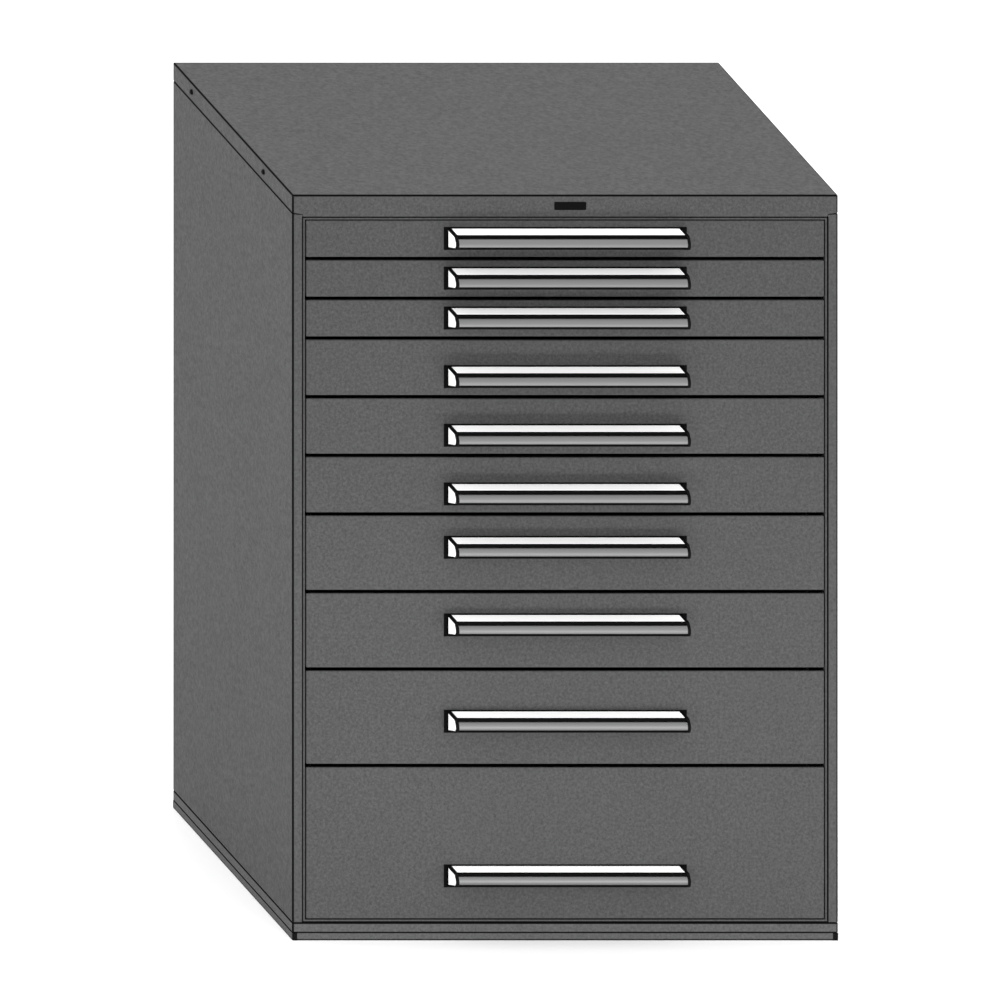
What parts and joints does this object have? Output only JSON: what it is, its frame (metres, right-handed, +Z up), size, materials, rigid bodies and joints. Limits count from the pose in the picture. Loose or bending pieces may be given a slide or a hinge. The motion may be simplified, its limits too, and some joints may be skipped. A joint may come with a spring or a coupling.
{
  "type": "flat file cabinet",
  "caption": "Free-standing sheet-steel cabinet with a column of graduated full-extension drawers, each with a hooded aluminium handle, on a low base frame.",
  "frame": {"origin": "on the floor, under the middle of the whole object's bounding box with its drawers closed", "axes": "+Z up from the floor, +Y from the drawer fronts to the back, +X to the right of someone who faces the drawers, which open towards -Y"},
  "size_m": [1.107, 0.7706, 1.5],
  "materials": {
    "housing_paint": "dark grey powder coat, fine texture, satin",
    "drawer_paint": "dark grey powder coat, fine texture, satin",
    "handle_aluminium": "satin anodised",
    "black_caps": "moulded, matt",
    "black_plate": "semi-gloss, blank",
    "black_screws": "black oxide, satin",
    "zinc_steel": "bright zinc plate"
  },
  "bodies": {
    "cabinet": {"left_side_panel": "housing_paint", "right_side_panel": "housing_paint", "back_panel": "housing_paint", "top_cover": "housing_paint", "floor_pan": "housing_paint", "base_frame": "housing_paint", "uprights": "zinc_steel", "slide_channels": "zinc_steel", "housing_screws": "black_screws", "name_plate": "black_plate"},
    "drawer_01": {"drawer_01_front": "drawer_paint", "drawer_01_box": "drawer_paint", "drawer_01_handle": "handle_aluminium", "drawer_01_handle_caps": "black_caps"},
    "drawer_01_slides": {"drawer_01_carriages": "zinc_steel"},
    "drawer_02": {"drawer_02_front": "drawer_paint", "drawer_02_box": "drawer_paint", "drawer_02_handle": "handle_aluminium", "drawer_02_handle_caps": "black_caps"},
    "drawer_02_slides": {"drawer_02_carriages": "zinc_steel"},
    "drawer_03": {"drawer_03_front": "drawer_paint", "drawer_03_box": "drawer_paint", "drawer_03_handle": "handle_aluminium", "drawer_03_handle_caps": "black_caps"},
    "drawer_03_slides": {"drawer_03_carriages": "zinc_steel"},
    "drawer_04": {"drawer_04_front": "drawer_paint", "drawer_04_box": "drawer_paint", "drawer_04_handle": "handle_aluminium", "drawer_04_handle_caps": "black_caps"},
    "drawer_04_slides": {"drawer_04_carriages": "zinc_steel"},
    "drawer_05": {"drawer_05_front": "drawer_paint", "drawer_05_box": "drawer_paint", "drawer_05_handle": "handle_aluminium", "drawer_05_handle_caps": "black_caps"},
    "drawer_05_slides": {"drawer_05_carriages": "zinc_steel"},
    "drawer_06": {"drawer_06_front": "drawer_paint", "drawer_06_box": "drawer_paint", "drawer_06_handle": "handle_aluminium", "drawer_06_handle_caps": "black_caps"},
    "drawer_06_slides": {"drawer_06_carriages": "zinc_steel"},
    "drawer_07": {"drawer_07_front": "drawer_paint", "drawer_07_box": "drawer_paint", "drawer_07_handle": "handle_aluminium", "drawer_07_handle_caps": "black_caps"},
    "drawer_07_slides": {"drawer_07_carriages": "zinc_steel"},
    "drawer_08": {"drawer_08_front": "drawer_paint", "drawer_08_box": "drawer_paint", "drawer_08_handle": "handle_aluminium", "drawer_08_handle_caps": "black_caps"},
    "drawer_08_slides": {"drawer_08_carriages": "zinc_steel"},
    "drawer_09": {"drawer_09_front": "drawer_paint", "drawer_09_box": "drawer_paint", "drawer_09_handle": "handle_aluminium", "drawer_09_handle_caps": "black_caps"},
    "drawer_09_slides": {"drawer_09_carriages": "zinc_steel"},
    "drawer_10": {"drawer_10_front": "drawer_paint", "drawer_10_box": "drawer_paint", "drawer_10_handle": "handle_aluminium", "drawer_10_handle_caps": "black_caps"},
    "drawer_10_slides": {"drawer_10_carriages": "zinc_steel"}
  },
  "joints": [
    {"name": "drawer_01_slide", "type": "slide", "parent": "cabinet", "child": "drawer_01", "axis": [0, -1, 0], "range_m": [0, 0.62]},
    {"name": "drawer_01_carriage_slide", "type": "slide", "parent": "cabinet", "child": "drawer_01_slides", "axis": [0, -1, 0], "range_m": [0, 0.31]},
    {"name": "drawer_02_slide", "type": "slide", "parent": "cabinet", "child": "drawer_02", "axis": [0, -1, 0], "range_m": [0, 0.62]},
    {"name": "drawer_02_carriage_slide", "type": "slide", "parent": "cabinet", "child": "drawer_02_slides", "axis": [0, -1, 0], "range_m": [0, 0.31]},
    {"name": "drawer_03_slide", "type": "slide", "parent": "cabinet", "child": "drawer_03", "axis": [0, -1, 0], "range_m": [0, 0.62]},
    {"name": "drawer_03_carriage_slide", "type": "slide", "parent": "cabinet", "child": "drawer_03_slides", "axis": [0, -1, 0], "range_m": [0, 0.31]},
    {"name": "drawer_04_slide", "type": "slide", "parent": "cabinet", "child": "drawer_04", "axis": [0, -1, 0], "range_m": [0, 0.62]},
    {"name": "drawer_04_carriage_slide", "type": "slide", "parent": "cabinet", "child": "drawer_04_slides", "axis": [0, -1, 0], "range_m": [0, 0.31]},
    {"name": "drawer_05_slide", "type": "slide", "parent": "cabinet", "child": "drawer_05", "axis": [0, -1, 0], "range_m": [0, 0.62]},
    {"name": "drawer_05_carriage_slide", "type": "slide", "parent": "cabinet", "child": "drawer_05_slides", "axis": [0, -1, 0], "range_m": [0, 0.31]},
    {"name": "drawer_06_slide", "type": "slide", "parent": "cabinet", "child": "drawer_06", "axis": [0, -1, 0], "range_m": [0, 0.62]},
    {"name": "drawer_06_carriage_slide", "type": "slide", "parent": "cabinet", "child": "drawer_06_slides", "axis": [0, -1, 0], "range_m": [0, 0.31]},
    {"name": "drawer_07_slide", "type": "slide", "parent": "cabinet", "child": "drawer_07", "axis": [0, -1, 0], "range_m": [0, 0.62]},
    {"name": "drawer_07_carriage_slide", "type": "slide", "parent": "cabinet", "child": "drawer_07_slides", "axis": [0, -1, 0], "range_m": [0, 0.31]},
    {"name": "drawer_08_slide", "type": "slide", "parent": "cabinet", "child": "drawer_08", "axis": [0, -1, 0], "range_m": [0, 0.62]},
    {"name": "drawer_08_carriage_slide", "type": "slide", "parent": "cabinet", "child": "drawer_08_slides", "axis": [0, -1, 0], "range_m": [0, 0.31]},
    {"name": "drawer_09_slide", "type": "slide", "parent": "cabinet", "child": "drawer_09", "axis": [0, -1, 0], "range_m": [0, 0.62]},
    {"name": "drawer_09_carriage_slide", "type": "slide", "parent": "cabinet", "child": "drawer_09_slides", "axis": [0, -1, 0], "range_m": [0, 0.31]},
    {"name": "drawer_10_slide", "type": "slide", "parent": "cabinet", "child": "drawer_10", "axis": [0, -1, 0], "range_m": [0, 0.62]},
    {"name": "drawer_10_carriage_slide", "type": "slide", "parent": "cabinet", "child": "drawer_10_slides", "axis": [0, -1, 0], "range_m": [0, 0.31]}
  ],
  "couplings": [
    {"joint": "drawer_01_carriage_slide", "follows": "drawer_01_slide", "ratio": 0.5},
    {"joint": "drawer_02_carriage_slide", "follows": "drawer_02_slide", "ratio": 0.5},
    {"joint": "drawer_03_carriage_slide", "follows": "drawer_03_slide", "ratio": 0.5},
    {"joint": "drawer_04_carriage_slide", "follows": "drawer_04_slide", "ratio": 0.5},
    {"joint": "drawer_05_carriage_slide", "follows": "drawer_05_slide", "ratio": 0.5},
    {"joint": "drawer_06_carriage_slide", "follows": "drawer_06_slide", "ratio": 0.5},
    {"joint": "drawer_07_carriage_slide", "follows": "drawer_07_slide", "ratio": 0.5},
    {"joint": "drawer_08_carriage_slide", "follows": "drawer_08_slide", "ratio": 0.5},
    {"joint": "drawer_09_carriage_slide", "follows": "drawer_09_slide", "ratio": 0.5},
    {"joint": "drawer_10_carriage_slide", "follows": "drawer_10_slide", "ratio": 0.5}
  ]
}
